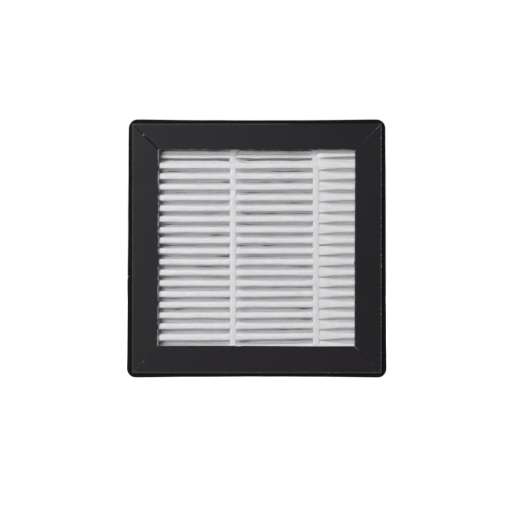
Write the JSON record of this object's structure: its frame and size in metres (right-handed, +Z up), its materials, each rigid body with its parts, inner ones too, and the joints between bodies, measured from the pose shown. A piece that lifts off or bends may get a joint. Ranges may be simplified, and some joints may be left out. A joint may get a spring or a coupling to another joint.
{
  "type": "pleated fume extractor filter cartridge",
  "caption": "Square board-framed filter cartridge with a white pleated particle filter in front, a carbon stage behind, and a black foam seal round its edge.",
  "frame": {"origin": "on the surface that the cartridge stands on, under its centre", "axes": "+Z up, +Y to the rear, the way the air flows, so the front opening faces -Y; +X to the right seen from the front"},
  "size_m": [0.13, 0.03, 0.13],
  "materials": {
    "frame_board": "satin",
    "seal_foam": "matte",
    "filter_media": "matte",
    "hot_melt": "satin",
    "felt_band": "matte",
    "carbon_net": "matte",
    "core_plastic": "satin",
    "activated_carbon": "matte"
  },
  "bodies": {
    "root": {"frame_top": "frame_board", "frame_bottom": "frame_board", "frame_left": "frame_board", "frame_right": "frame_board", "edge_seal": "seal_foam", "pleated_media": "filter_media", "front_bead_left": "hot_melt", "front_bead_middle": "hot_melt", "front_bead_right": "hot_melt", "rear_bead_left": "hot_melt", "rear_bead_middle": "hot_melt", "rear_bead_right": "hot_melt", "end_glue_top": "hot_melt", "end_glue_bottom": "hot_melt", "side_band_left": "felt_band", "side_band_right": "felt_band", "carbon_front_net": "carbon_net", "carbon_rear_net": "carbon_net", "honeycomb_core": "core_plastic", "carbon_granules": "activated_carbon"}
  },
  "joints": []
}
